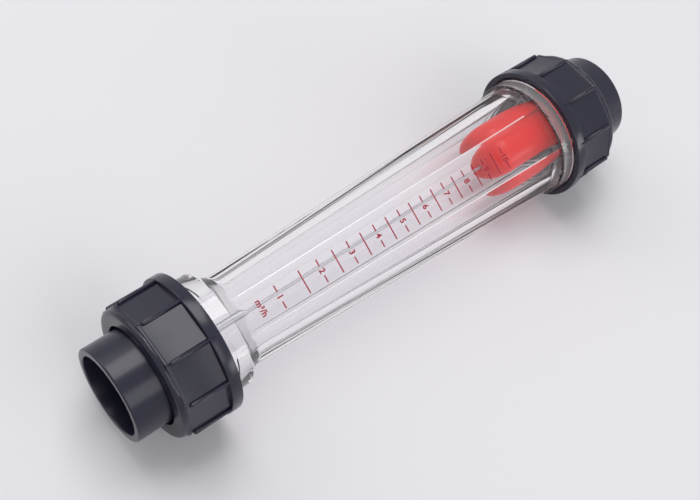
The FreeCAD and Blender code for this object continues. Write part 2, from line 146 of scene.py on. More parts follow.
class TubeSizes(bpy.types.PropertyGroup):
    """The clear tube, measured from its inlet face."""

    sides: count(8, "Number of flats")
    clock: angle(0.95, "How far its corners are turned from straight up")
    flats_low: length(70.1, "Across the flats at the narrow end")
    flats_high: length(89.5, "Across the flats at the wide end")
    flats_start: length(62.0, "Where the narrow size is measured")
    flats_inset: length(50.0, "The same from the outlet face")
    corner_round: length(2.0, "Roundness of the eight corners")
    # the pale line along each corner is a painted highlight: a frosted, glossier strip of the
    # acrylic
    corner_line: angle(0.66, "Half the width of the pale line along each corner")
    thread_length: length(26.0, "Length of the thread at each end")
    satin_start: length(36.0, "Where the satin of the threaded end stops")
    inlet_collar: length(90.8, "Diameter of the collar at the inlet")
    inlet_collar_end: length(50.0, "Where that collar ends")
    inlet_step: length(13.0, "Length of the cone behind it")
    outlet_collar: length(98.6, "Diameter of the collar at the outlet")
    outlet_collar_inset: length(33.0, "Its distance from the outlet face")
    outlet_collar_width: length(11.0, "Its width")
    outlet_flare: length(16.0, "Length of the flare before it")
    collar_edge: length(0.6, "Roundness of the collars' edges")
    collar_step: length(2.2, "Height of the step that each collar ends in")
    bore_low: length(53.4, "Bore where the taper begins")
    bore_high: length(76.8, "Bore where the taper ends")
    bore_start: length(75.0, "Where the taper begins")
    bore_inset: length(40.0, "Its end, from the outlet face")
    seat_depth: length(8.0, "Depth of the seats of the rod supports")
    seat_low: length(66.0, "Diameter of the seat at the inlet")
    seat_high: length(79.0, "Diameter of the seat at the outlet")


class RodSizes(bpy.types.PropertyGroup):
    """The guide rod, its sleeves and its supports."""

    rod: length(4.0, "Diameter of the guide rod")
    sleeve: length(6.0, "Diameter of the stop sleeves")
    edge: length(0.35, "Bevel on the ends of turned pieces")
    rim_gap: length(0.1, "Clearance of a support in its seat")
    rim_wall: length(3.0, "Wall of a support's rim")
    arms: count(4, "Arms of each support")
    arm_width: length(3.0, "Thickness of an arm")
    arm_length: length(7.0, "Depth of an arm along the flow")
    arm_inner: length(5.0, "Where an arm starts, from the axis")
    hub: length(13.0, "Diameter of a support's hub")
    hub_back: length(6.0, "Where the hub starts, from the sealing face")
    hub_length: length(10.0, "Length of the hub")


class FloatSizes(bpy.types.PropertyGroup):
    """The float."""

    nose_round: length(18.2, "Radius of the nose")
    wall: length(2.6, "Wall of the shell")
    core: length(15.0, "Outside of the tube round the rod")
    bush: length(11.0, "Outside of the bushes")
    bush_length: length(9.0, "Length of a bush")
    bush_lip: length(0.8, "Red lip in front of a bush")
    bush_bore: length(4.2, "Bore of a bush and of the lip in front of it")
    clear: length(6.0, "Bore of the core between the bushes")
    cap_round: length(1.5, "Roundness of the tail")
    lip: length(3.0, "How far the cap goes into the shell")


class ScaleSizes(bpy.types.PropertyGroup):
    """The printed scale, on one flat of the tube."""

    flat: angle(23.45, "Direction of the flat that carries the scale")
    centre: angle(2.0, "How far the marks are turned from the middle of the flat")
    first: length(-109.9, "Place of the lowest number along the axis")
    last: length(106.4, "Place of the highest number")
    numbers: count(10, "How many numbered marks")
    power: plain(0.8, "The marks close up with the flow to this power")
    mark_length: length(18.6, "Length of a mark")
    mark_width: length(1.05, "Width of a mark")
    gap: length(7.4, "Break in a numbered mark, for its number")
    number_height: length(4.8, "Height of the numbers")
    bold: length(0.2, "How much the numbers are thickened")
    unit_place: length(-126.0, "Place of the unit along the axis")
    unit_height: length(4.8, "Height of the unit's letters")
    proud: length(0.02, "How far the print stands over the flat")
    thick: length(0.04, "Thickness of the print")


class Finishes(bpy.types.PropertyGroup):
    """Colours."""

    acrylic: colour((0.985, 0.975, 0.985), "Tint of the clear tube")
    dark: colour((0.018, 0.0175, 0.035), "Slate grey of the nuts and connectors")
    red: colour((0.86, 0.010, 0.006), "Red of the float")
    steel: colour((0.44, 0.44, 0.46), "Rod, sleeves and fasteners")
    pale: colour((0.60, 0.62, 0.68), "Rod supports")
    bush: colour((0.86, 0.86, 0.84), "Bushes of the float")
    rubber: colour((0.02, 0.02, 0.02), "O-rings")
    floor: colour((0.82, 0.81, 0.84), "Floor")
    print: colour((0.33, 0.008, 0.03), "Marks and numbers")


class StageSizes(bpy.types.PropertyGroup):
    """Camera, lamps and floor."""

    place: vector((-0.4150, -0.2607, 0.8281), "Place of the camera, in metres")
    aim: vector((0.42938, 0.28611, -0.85662), "Direction the camera looks in")
    upward: vector((0.47775, 0.73297, 0.48428), "Direction of the picture's top")
    lens: plain(61.16, "Focal length in millimetres on a 36 mm sensor")
    floor_size: plain(3.6, "Width of the round floor in metres")
    light: plain(0.3, "How strongly the room lights the meter")
    backdrop: plain(0.85, "How bright the room looks, also in gloss and glass")


GROUPS = {
    "meter_union": UnionSizes,
    "meter_tube": TubeSizes,
    "meter_rod": RodSizes,
    "meter_float": FloatSizes,
    "meter_scale": ScaleSizes,
    "meter_finish": Finishes,
    "meter_stage": StageSizes,
}


def sizes(group):
    return getattr(bpy.context.scene, group)


# ---- round pieces ----


def linked(name, data):
    """A new object in the scene."""
    thing = bpy.data.objects.new(name, data)
    bpy.context.scene.collection.objects.link(thing)
    return thing


def new_piece(name, vertices, faces):
    """A smooth mesh piece, in metres, with its faces turned outwards."""
    mesh = bpy.data.meshes.new(name)
    mesh.from_pydata([tuple(v) for v in vertices], [], faces)
    mesh.validate()
    if volume_of(mesh) < 0:
        mesh.flip_normals()
    mesh.shade_smooth()
    return linked(name, mesh)


def mesh_of(name, shape):
    """The mesh of a bmesh, which is freed."""
    mesh = bpy.data.meshes.new(name)
    shape.to_mesh(mesh)
    shape.free()
    return mesh


def volume_of(mesh):
    shape = bmesh.new()
    shape.from_mesh(mesh)
    volume = shape.calc_volume(signed=True)
    shape.free()
    return volume


def quarter(steps):
    """How far along and how far up each step of a quarter round has come, from 0 to 1."""
    for step in range(steps + 1):
        a = math.radians(90 * step / steps)
        yield 1 - math.cos(a), math.sin(a)


def bar(name, rings, turns, centre):
    """A solid round bar along X, its middle at a height. Each ring is a station and a radius."""
    vertices = [
        (x, -radius * math.sin(a), centre + radius * math.cos(a))
        for x, radius in rings for a in even_clocks(turns)
    ]
    faces = [
        (i + k, i + (k + 1) % turns, i + turns + (k + 1) % turns, i + turns + k)
        for i in range(0, len(vertices) - turns, turns) for k in range(turns)
    ]
    faces.append(tuple(reversed(range(turns))))
    faces.append(tuple(range(len(vertices) - turns, len(vertices))))
    return new_piece(name, vertices, faces)


def skin(name, rows, clocks, sharp=math.radians(40)):
    """A closed skin round the axis. Each row is a station and a radius for every clock angle, or
    one radius for all. The last row joins the first, so the outline runs out and back inside."""
    turns = len(clocks)
    sines, cosines = np.sin(clocks), np.cos(clocks)
    vertices = []
    for station, radius in rows:
        station = np.broadcast_to(station, turns)
        radius = np.broadcast_to(radius, turns)
        vertices.append(np.stack([station, -radius * sines, AXIS_Z + radius * cosines], axis=1))
    index = np.arange(len(rows) * turns).reshape(len(rows), turns)
    down, along = np.roll(index, -1, axis=0), np.roll(index, -1, axis=1)
    across = np.roll(down, -1, axis=1)
    faces = np.stack([index, along, across, down], axis=-1).reshape(-1, 4).tolist()
    piece = new_piece(name, np.concatenate(vertices), faces)
    piece.data.set_sharp_from_angle(angle=sharp)
    return piece


def even_clocks(turns):
    return np.arange(turns) * (2 * math.pi / turns)


def softened(outline, steps=3):
    """An outline with its corners cut by small arcs. A point is its station and its radius, and
    how far its arc reaches unless the corner is sharp."""
    points = []
    total = len(outline)
    for i, (station, radius, *reach) in enumerate(outline):
        here = Vector((station, radius))
        if not reach:
            points.append(here)
            continue
        before = Vector(outline[i - 1][:2]) - here
        after = Vector(outline[(i + 1) % total][:2]) - here
        # a little under half a side, so that two arcs never meet
        reach = min(*reach, 0.49 * before.length, 0.49 * after.length)
        start, end = here + before.normalized() * reach, here + after.normalized() * reach
        for step in range(steps + 1):
            t = step / steps
            points.append((1 - t) ** 2 * start + 2 * t * (1 - t) * here + t * t * end)
    return points


def turned(name, outline, turns, steps=3):
    """A piece of revolution from a closed outline."""
    return skin(name, softened(outline, steps), even_clocks(turns))


def facing(end):
    """Where an end's mouth is, and which way is inwards."""
    return (INLET_MOUTH, 1) if end == "inlet" else (OUTLET_MOUTH, -1)


def placed(outline, end):
    """An outline measured inwards from an end's mouth, along the real axis."""
    mouth, sign = facing(end)
    return [(mouth + sign * p[0], *p[1:]) for p in outline]


def painted(piece, material):
    piece.data.materials.clear()
    piece.data.materials.append(bpy.data.materials[material])


def finish_piece(piece, body, slot, material, *nodes):
    """Give a piece its material and body, and hide the CAD nodes it stands for. Its slot is not
    used.
    """
    painted(piece, material)
    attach(piece, body)
    if nodes:
        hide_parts(*nodes)


# ---- materials ----


class Graph:
    """A node tree, with short ways to add and join nodes."""

    def __init__(self, tree):
        self.tree = tree

    def feed(self, socket, value):
        """Link a node's output to a socket, or set the socket to a plain value."""
        if isinstance(value, bpy.types.NodeSocket):
            self.tree.links.new(value, socket)
        else:
            socket.default_value = value

    def add(self, kind, **values):
        """A node with its inputs fed; a key's underscores stand for spaces."""
        node = self.tree.nodes.new(kind)
        for key, value in values.items():
            self.feed(node.inputs[key.replace("_", " ")], value)
        return node

    def maths(self, kind, *values):
        node = self.add("ShaderNodeMath")
        node.operation = kind
        for socket, value in zip(node.inputs, values):
            self.feed(socket, value)
        return node.outputs[0]

    def ranged(self, value, low, high):
        """A value from 0 to 1, brought to another range."""
        return self.add("ShaderNodeMapRange", Value=value, To_Min=low, To_Max=high).outputs[0]


class Nodes(Graph):
    """A material's node tree."""

    def __init__(self, name):
        self.material = bpy.data.materials.new(name)
        self.material.use_nodes = True
        super().__init__(self.material.node_tree)
        self.tree.nodes.clear()
        self.out = self.add("ShaderNodeOutputMaterial")

    def shader(self, **values):
        node = self.add("ShaderNodeBsdfPrincipled", **values)
        self.surface(node.outputs[0])
        return node

    def surface(self, value):
        self.feed(self.out.inputs["Surface"], value)

    def noise(self, scale, detail, stretch=(1, 1, 1)):
        """Noise in object coordinates, which a vector stretches."""
        where = self.add("ShaderNodeTexCoord").outputs["Object"]
        place = self.add("ShaderNodeMapping", Vector=where, Scale=stretch).outputs[0]
        node = self.add("ShaderNodeTexNoise", Vector=place, Scale=scale, Detail=detail)
        return node.outputs["Fac"]

    def tones(self, value, base, low, high):
        """A colour that a value takes from a darker to a lighter shade of it."""
        node = self.tree.nodes.new("ShaderNodeMix")
        node.data_type = "RGBA"
        for key, part in (
            ("Factor", value), ("A", (*shade(base, low), 1)), ("B", (*shade(base, high), 1)),
        ):
            self.feed(node.inputs[key], part)
        return node.outputs["Result"]

    def bump(self, height, strength, distance):
        node = self.add("ShaderNodeBump", Height=height, Strength=strength, Distance=distance)
        return node.outputs[0]


def shade(base, factor):
    return tuple(min(1.0, c * factor) for c in base)


def moulded(name, base, rough, grain, shine=0.5):
    """Moulded plastic: slow changes of tone, a fine skin texture and uneven gloss."""
    nodes = Nodes(name)
    nodes.shader(
        Base_Color=nodes.tones(nodes.noise(28.0, 3.0), base, 0.86, 1.14),
        Roughness=nodes.ranged(nodes.noise(160.0, 4.0), rough * 0.8, rough * 1.25),
        Normal=nodes.bump(nodes.noise(1800.0, 3.0), grain, 0.06 * MM),
        Specular_IOR_Level=shine, IOR=1.5,
    )


def drawn_steel(name, base):
    """Steel bar with fine lines along it."""
    nodes = Nodes(name)
    lines = nodes.noise(2600.0, 2.0, (0.02, 1, 1))
    nodes.shader(
        Base_Color=nodes.tones(lines, base, 0.85, 1.1), Metallic=1.0,
        Roughness=nodes.ranged(lines, 0.3, 0.5), Normal=nodes.bump(lines, 0.15, 0.02 * MM),
    )


def acrylic(name, tint, rough=0.0, clear=1.0, shine=0.25):
    """Clear plastic. Lamps shine through it, tinted, so that what is inside is lit."""
    nodes = Nodes(name)
    shader = nodes.shader(
        Base_Color=(*tint, 1), Transmission_Weight=clear, IOR=1.49, Roughness=rough,
        Specular_IOR_Level=shine,
    )
    open_way = nodes.add("ShaderNodeBsdfTransparent", Color=(*shade(tint, 0.97), 1))
    path = nodes.add("ShaderNodeLightPath")
    surface = shader.outputs[0]
    for ray in ("Is Diffuse Ray", "Is Shadow Ray"):
        mix = nodes.add("ShaderNodeMixShader", Fac=path.outputs[ray])
        nodes.feed(mix.inputs[1], surface)
        nodes.feed(mix.inputs[2], open_way.outputs[0])
        surface = mix.outputs[0]
    nodes.surface(surface)


def printed(name, base):
    """Screen-printed ink."""
    nodes = Nodes(name)
    nodes.shader(Base_Color=nodes.tones(nodes.noise(900.0, 3.0), base, 0.8, 1.15), Roughness=0.45)


class METER_OT_finishes(bpy.types.Operator):
    """Make the materials and put them on the CAD pieces that stay"""

    bl_idname = "meter.finishes"
    bl_label = "Finishes"

    def execute(self, context):
        tints = sizes("meter_finish")
        moulded("Slate uPVC", tints.dark, rough=0.21, grain=0.08, shine=0.34)
        moulded("Red float plastic", tints.red, rough=0.24, grain=0.08, shine=0.22)
        moulded("Pale support plastic", tints.pale, rough=0.4, grain=0.15)
        moulded("White bush plastic", tints.bush, rough=0.5, grain=0.1)
        moulded("Seal rubber", tints.rubber, rough=0.6, grain=0.3)
        drawn_steel("Drawn steel", tints.steel)
        acrylic("Clear acrylic", tints.acrylic)
        acrylic("Turned acrylic", tints.acrylic, rough=0.12, clear=0.84)
        # painted highlight: a frosted, glossier strip for the crests of the tube's corners
        acrylic("Corner acrylic", tints.acrylic, rough=0.2, clear=0.45, shine=1.0)
        printed("Scale ink", tints.print)
        kept = {"float_ballast": "Drawn steel"}
        for end in ("inlet", "outlet"):
            kept[end + "_o_ring"] = "Seal rubber"
            kept[end + "_rod_washer"] = kept[end + "_rod_nut"] = "Drawn steel"
        for node, material in kept.items():
            painted(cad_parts[node], material)
        return {"FINISHED"}


# ---- clear tube ----


def polygon_radius(clocks, apothem, corner_clock, sides, corner_round):
    """Radius of a regular polygon with rounded corners, for every clock angle."""
    sector = 2 * math.pi / sides
    away = (clocks - corner_clock + sector / 2) % sector - sector / 2
    from_flat = sector / 2 - np.abs(away)
    flat = apothem / np.cos(from_flat)
    centre = apothem / math.cos(sector / 2) - corner_round / math.cos(sector / 2)
    inside = np.maximum(corner_round**2 - (centre * np.sin(away)) ** 2, 0)
    arc = centre * np.cos(away) + np.sqrt(inside)
    arc_half = math.atan2(corner_round * math.sin(sector / 2),
                          centre + corner_round * math.cos(sector / 2))
    return np.where(np.abs(away) < arc_half, arc, flat)


def polygon_clocks(corner_clock, sides, corner_half, fine, coarse):
    """Clock angles that are close together round the corners of a polygon."""
    sector = 2 * math.pi / sides
    near = np.linspace(-corner_half, corner_half, fine, endpoint=False)
    far = np.linspace(corner_half, sector - corner_half, coarse, endpoint=False)
    one = np.concatenate([near, far])
    return np.concatenate([corner_clock + i * sector + one for i in range(sides)])


def smooth_most(first, second, width):
    """The larger of two, rounded off where they cross."""
    blend = np.maximum(width - np.abs(first - second), 0) / width
    return np.maximum(first, second) + blend**2 * width / 4


def thread_wave(phase):
    """Height of a moulded thread, from 0 to 1, over one turn of phase. Root and crest are flat, and
    the flank between them takes a seventh of the pitch."""
    off = np.abs((phase % 1.0) - 0.5) * 2
    return np.clip((off - 0.34) / 0.28, 0, 1)


def ramp(value, start, end):
    t = np.clip((value - start) / (end - start), 0, 1)
    return t * t * (3 - 2 * t)


class METER_OT_tube(bpy.types.Operator):
    """Make the clear tube: threaded ends, collars, eight tapered flats and a tapered bore"""

    bl_idname = "meter.tube"
    bl_label = "Clear tube"

    def execute(self, context):
        t, u = sizes("meter_tube"), sizes("meter_union")
        clocks = polygon_clocks(t.clock, t.sides, math.radians(2.6), 8, 12)
        rows = [(x, self.outer(x, clocks, t, u)) for x in self.stations(t)]
        rows += [tuple(point) for point in reversed(self.bore(t))]
        rows = [(TUBE_LOW[0] + x, radius) for x, radius in rows]
        tube = skin("clear_tube", rows, clocks, math.radians(32))
        finish_piece(tube, "meter_tube", "clear_tube", "Clear acrylic", "metering_tube")
        self.dress(tube, t)
        return {"FINISHED"}

    def dress(self, tube, t):
        """Give the collars and threads, which are turned and not moulded, their satin finish, and
        the narrow crests of the corners a painted highlight: a frosted, glossier pale strip."""
        mesh = tube.data
        for name in ("Turned acrylic", "Corner acrylic"):
            mesh.materials.append(bpy.data.materials[name])
        satin_low = TUBE_LOW[0] + t.satin_start
        satin_high = TUBE_HIGH[0] - t.outlet_collar_inset - t.outlet_collar_width + 1 * MM
        flats_low = TUBE_LOW[0] + t.inlet_collar_end + t.inlet_step + 2 * MM
        flats_high = satin_high - t.outlet_flare - 1 * MM
        sector = 2 * math.pi / t.sides
        for face in mesh.polygons:
            x, y, z = face.center
            radius = math.hypot(y, z - AXIS_Z)
            if flats_low < x < flats_high:
                around = (math.atan2(-y, z - AXIS_Z) - t.clock) / sector
                crest = abs(around - round(around)) * sector < t.corner_line
                # the crest of a corner gets the painted highlight strip
                if crest and radius > flat_apothem(x)[0]:
                    face.material_index = 2
            elif not satin_low < x < satin_high and abs(face.normal.x) < 0.9:
                # the outside, not the bore
                if radius > t.seat_high / 2 + 1 * MM:
                    face.material_index = 1

    def stations(self, t):
        """Places along the outside, from the inlet face, close together at threads and edges."""
        high_end = TUBE_LENGTH - t.outlet_collar_inset
        high_start = high_end - t.outlet_collar_width
        thread = np.arange(0, t.thread_length + 1.5 * MM, 0.42 * MM)
        low = np.linspace(t.thread_length + 2 * MM, t.inlet_collar_end + t.inlet_step + 6 * MM, 60)
        body_end = high_start - t.outlet_flare - 5 * MM
        body = np.linspace(low[-1] + 4 * MM, body_end - 4 * MM, 40)
        high = np.linspace(body_end, TUBE_LENGTH - t.thread_length - 2 * MM, 60)
        near = np.array([-0.62, -0.55, -0.4, -0.25, -0.1, 0, 0.1, 0.2, 0.3, 0.5]) * MM
        edges = [t.inlet_collar_end + near, high_start - near, high_end + np.array([0, 0.3]) * MM]
        return np.unique(np.concatenate([thread, low, body, high, TUBE_LENGTH - thread, *edges]))

    def outer(self, x, clocks, t, u):
        """Radius of the outside at a place along it, for every clock angle."""
        apothem = flat_apothem(TUBE_LOW[0] + x)[0]
        radius = polygon_radius(clocks, apothem, t.clock, t.sides, t.corner_round)
        # for each end: how far inwards, the collar's radius, end and cone, the flats it runs down
        # to, where the thread and its neck stop, and the sense that makes the thread right-handed
        ends = (
            (x, t.inlet_collar / 2, t.inlet_collar_end, t.inlet_step, t.flats_low / 2,
             t.thread_length, -1),
            (TUBE_LENGTH - x, t.outlet_collar / 2, t.outlet_collar_inset + t.outlet_collar_width,
             t.outlet_flare, t.flats_high / 2, t.outlet_collar_inset - 0.3 * MM, 1),
        )
        for inwards, collar, edge, cone, foot, neck, sense in ends:
            if inwards > edge + 1.6 * cone:
                continue
            body = self.collar(inwards, collar, edge, cone, foot, t)
            radius = smooth_most(radius, np.broadcast_to(body, clocks.shape), 1.2 * MM)
            if inwards > neck + 1e-6:
                continue
            # the thread fades at both its ends, and a plain neck may run on from it
            fade = ramp(inwards, 0.0, 1.2 * MM)
            fade *= 1 - ramp(inwards, t.thread_length - 2 * MM, t.thread_length)
            wave = thread_wave(inwards / u.pitch + sense * clocks / (2 * math.pi))
            radius = u.thread / 2 - u.thread_depth + u.thread_depth * wave * fade
        return radius

    def collar(self, inwards, radius, edge, run, foot, t):
        """Radius of a collar: round, then down a small step, then down a cone to the flats."""
        e, drop = t.collar_edge, t.collar_step
        if inwards <= edge - e:
            return radius
        if inwards < edge:
            return radius - e + math.sqrt(e**2 - (inwards - edge + e) ** 2)
        low = radius - drop
        cone = low - (low - foot) * (inwards - edge) / run
        return cone + (radius - e - low) * (1 - ramp(inwards, edge, edge + 0.3 * MM))

    def bore(self, t):
        outline = softened([
            (0.0, t.seat_low / 2, 0.3 * MM),
            (t.seat_depth, t.seat_low / 2, 0.3 * MM),
            (t.seat_depth, t.bore_low / 2, 0.5 * MM),
            (t.bore_start, t.bore_low / 2, 3 * MM),
            (TUBE_LENGTH - t.bore_inset, t.bore_high / 2, 3 * MM),
            (TUBE_LENGTH - t.seat_depth, t.bore_high / 2, 0.5 * MM),
            (TUBE_LENGTH - t.seat_depth, t.seat_high / 2, 0.3 * MM),
            (TUBE_LENGTH, t.seat_high / 2, 0.3 * MM),
        ])
        # the two ends of an open outline aren't corners
        return [(0.0, t.seat_low / 2), *outline[4:-4], (TUBE_LENGTH, t.seat_high / 2)]


# ---- unions ----


def nut_rows(u, clocks):
    """Outside of a union nut, front to back, then its inside, back to front."""
    panel = polygon_radius(clocks, u.flats / 2, u.clock, u.sides, u.panel_round)
    lip = panel + u.lip_height
    shoulder = np.full_like(clocks, u.shoulder / 2)
    band = np.full_like(clocks, u.band / 2)
    r, e = u.shoulder_round, u.band_round
    front, back, lip_back = u.panel_front, u.back, u.panel_front + u.lip_width
    band_front = back - u.band_width
    rows = [(u.front + r * along, shoulder - r + r * up) for along, up in quarter(7)]
    # the front lip of each panel, with its soft edges
    rows += [
        (front - 0.3 * MM, shoulder),
        (front + 0.2 * MM, np.minimum(shoulder, lip) * 0.4 + lip * 0.6 - 0.25 * MM),
        (front + 0.6 * MM, lip - 0.05 * MM),
        (front + 0.9 * MM, lip),
        (lip_back - 0.5 * MM, lip),
        (lip_back - 0.2 * MM, lip - 0.06 * MM),
        (lip_back + 0.1 * MM, panel + 0.06 * MM),
        (lip_back + 0.4 * MM, panel),
    ]
    # the corner where a panel meets the band, then the band
    rows += [
        (band_front - 0.9 * MM, panel),
        (band_front - 0.35 * MM, panel + 0.08 * MM),
        (band_front - 0.02 * MM, panel + 0.5 * MM),
    ]
    rows += [(band_front + 0.02 * MM + e * along, band - e + e * up) for along, up in quarter(4)]
    rows += [(back - e + e * up, band - e * along) for along, up in quarter(4)]
    bore = u.thread / 2 + u.thread_gap
    inner = softened([
        (back, u.mouth / 2, 0.4 * MM),
        (back - u.mouth_depth, bore, 0.4 * MM),
        (u.flange_front, bore, 0.3 * MM),
        (u.flange_front, u.opening / 2, 0.3 * MM),
        (u.front, u.opening / 2, 0.6 * MM),
        (u.front, u.shoulder / 2 - r),
    ])
    return rows + inner[:-1]


class METER_OT_nuts(bpy.types.Operator):
    """Make the two union nuts, with their ribs and threads"""

    bl_idname = "meter.nuts"
    bl_label = "Union nuts"

    def execute(self, context):
        u = sizes("meter_union")
        for end in ("inlet", "outlet"):
            mouth, sign = facing(end)
            clocks = polygon_clocks(u.clock, u.sides, math.radians(3.2), 8, 10)
            rows = [(mouth + sign * x, r) for x, r in nut_rows(u, clocks)]
            nut = skin(end + "_nut_shell", rows, sign * clocks, math.radians(38))
            finish_piece(nut, end + "_nut", "dark_upvc", "Slate uPVC", end + "_union_nut")
            ribs = repeated_round(
                end + "_nut_ribs", rib(u, end), u.sides, sign * u.clock, "Slate uPVC"
            )
            for piece in (ribs, nut_thread(end, u)):
                finish_piece(piece, end + "_nut", "dark_upvc", "Slate uPVC")
        return {"FINISHED"}


def rib(u, end):
    """One straight rib with a round top and front, straight up from the axis at zero height."""
    mouth, sign = facing(end)
    r = u.rib_radius
    start, stop = u.rib_front + r, u.back - u.band_width / 2
    tip = [math.radians(15 + 75 * step / 5) for step in range(6)]
    rings = [(start - r * math.cos(a), r * math.sin(a)) for a in tip]
    rings += [(start + 1 * MM, r), (stop, r)]
    piece = bar("one_rib", [(mouth + sign * x, size) for x, size in rings], 20, u.rib_crest / 2 - r)
    bpy.context.scene.collection.objects.unlink(piece)
    return piece


class Tree(Graph):
    """A geometry tree that makes a mesh and takes named inputs."""

    def __init__(self, name, **inputs):
        super().__init__(bpy.data.node_groups.new(name, "GeometryNodeTree"))
        sockets = self.tree.interface
        sockets.new_socket(name="Geometry", in_out="OUTPUT", socket_type="NodeSocketGeometry")
        for key, kind in (*inputs.items(), ("Material", "Material")):
            sockets.new_socket(name=key, in_out="INPUT", socket_type="NodeSocket" + kind)
        self.inputs = self.add("NodeGroupInput").outputs

    def close(self, geometry):
        """Realize the instances, set the material and end the tree."""
        real = self.add("GeometryNodeRealizeInstances", Geometry=geometry)
        paint = self.add("GeometryNodeSetMaterial", Geometry=real.outputs[0],
                         Material=self.inputs["Material"])
        self.add("NodeGroupOutput", Geometry=paint.outputs[0])
        return self.tree


def grown(name, tree, material, **values):
    """Run a geometry tree round the axis and keep the result as a plain mesh piece. It grows
    about the axis at zero height and is then lifted."""
    holder = linked(name, bpy.data.meshes.new(name))
    modifier = holder.modifiers.new("grow", "NODES")
    modifier.node_group = tree
    values["Material"] = bpy.data.materials[material]
    for item in tree.interface.items_tree:
        if item.in_out == "INPUT":
            modifier[item.identifier] = values[item.name]
    graph = bpy.context.evaluated_depsgraph_get()
    mesh = bpy.data.meshes.new_from_object(holder.evaluated_get(graph), depsgraph=graph)
    holder.modifiers.clear()
    holder.data = mesh
    mesh.name = name
    mesh.transform(Matrix.Translation((0, 0, AXIS_Z)))
    return holder


def round_tree():
    """Copies of one object, evenly round the X axis."""
    tree = Tree("Round the axis", One="Object", Copies="Int", Clock="Float")
    copies, clock = tree.inputs["Copies"], tree.inputs["Clock"]
    line = tree.add("GeometryNodeMeshLine", Count=copies, Offset=(0, 0, 0))
    step = tree.maths("DIVIDE", 2 * math.pi, copies)
    index = tree.add("GeometryNodeInputIndex").outputs[0]
    angles = tree.add("ShaderNodeCombineXYZ", X=tree.maths("MULTIPLY_ADD", index, step, clock))
    spin = tree.add("FunctionNodeEulerToRotation", Euler=angles.outputs[0])
    one = tree.add("GeometryNodeObjectInfo", Object=tree.inputs["One"])
    placed_copies = tree.add("GeometryNodeInstanceOnPoints", Points=line.outputs[0],
                             Instance=one.outputs["Geometry"], Rotation=spin.outputs[0])
    return tree.close(placed_copies.outputs[0])


def repeated_round(name, one, copies, clock, material):
    """A piece of evenly spaced copies of one object round the axis."""
    tree = bpy.data.node_groups.get("Round the axis") or round_tree()
    return grown(name, tree, material, One=one, Copies=copies, Clock=clock)


def thread_tree():
    """A ridge along a helix round the X axis. Sense is which way it turns as it advances."""
    tree = Tree("Thread ridge", Turns="Float", Radius="Float", Advance="Float", Start="Float",
                Clock="Float", Ridge="Float", Sense="Float")
    maths, inputs = tree.maths, tree.inputs
    line = tree.add("GeometryNodeCurvePrimitiveLine", End=(1, 0, 0))
    many = tree.add("GeometryNodeResampleCurve", Curve=line.outputs[0], Count=4 * 96 + 1)
    part = tree.add("GeometryNodeSplineParameter").outputs["Factor"]
    turn = maths("MULTIPLY", maths("MULTIPLY", part, inputs["Turns"]), 2 * math.pi)
    turn = maths("ADD", maths("MULTIPLY", turn, inputs["Sense"]), inputs["Clock"])
    place = tree.add(
        "ShaderNodeCombineXYZ",
        X=maths("ADD", maths("MULTIPLY", part, inputs["Advance"]), inputs["Start"]),
        Y=maths("MULTIPLY", maths("SINE", turn), maths("MULTIPLY", inputs["Radius"], -1)),
        Z=maths("MULTIPLY", maths("COSINE", turn), inputs["Radius"]),
    )
    move = tree.add("GeometryNodeSetPosition", Geometry=many.outputs[0], Position=place.outputs[0])
    section = tree.add("GeometryNodeCurvePrimitiveCircle", Resolution=8, Radius=inputs["Ridge"])
    solid = tree.add("GeometryNodeCurveToMesh", Curve=move.outputs[0],
                     Profile_Curve=section.outputs[0], Fill_Caps=True)
    return tree.close(solid.outputs[0])


def nut_thread(end, u):
    """The ridge of the nut's thread, right-handed and in the groove of the tube's."""
    mouth, sign = facing(end)
    tree = bpy.data.node_groups.get("Thread ridge") or thread_tree()
    run = u.back - u.mouth_depth - u.ridge_stop - u.face - u.ridge_start
    # the groove's middle is where the tube's thread phase is a half
    phase = 0.5 - u.ridge_start / u.pitch
    thread = grown(
        end + "_nut_thread", tree, "Slate uPVC", Turns=run / u.pitch, Advance=sign * run,
        Radius=u.thread / 2 + u.thread_gap, Start=mouth + sign * (u.face + u.ridge_start),
        Clock=-sign * 2 * math.pi * phase, Ridge=u.ridge, Sense=float(sign),
    )
    thread.data.shade_smooth()
    return thread


class METER_OT_connectors(bpy.types.Operator):
    """Make the two socket connectors"""

    bl_idname = "meter.connectors"
    bl_label = "Connectors"

    def execute(self, context):
        u = sizes("meter_union")
        groove_in = (u.groove - u.groove_width) / 2
        groove_out = (u.groove + u.groove_width) / 2
        outline = [
            (0, u.socket / 2, 1.0 * MM), (0, u.socket_outside / 2, 1.4 * MM),
            (u.flange_front, u.socket_outside / 2, 0.8 * MM),
            (u.flange_front, u.flange / 2, 0.6 * MM), (u.face, u.flange / 2, 0.6 * MM),
            (u.face, groove_out, 0.2 * MM), (u.face - u.groove_width, groove_out, 0.2 * MM),
            (u.face - u.groove_width, groove_in, 0.2 * MM), (u.face, groove_in, 0.2 * MM),
            (u.face, u.waterway / 2, 0.5 * MM), (u.socket_depth, u.waterway / 2, 0.3 * MM),
            (u.socket_depth, u.socket / 2, 0.3 * MM),
        ]
        for end in ("inlet", "outlet"):
            piece = turned(end + "_socket_connector", placed(outline, end), 160)
            finish_piece(piece, end + "_tailpiece", "dark_upvc", "Slate uPVC", end + "_connector")
        return {"FINISHED"}


# ---- rod, supports and float ----


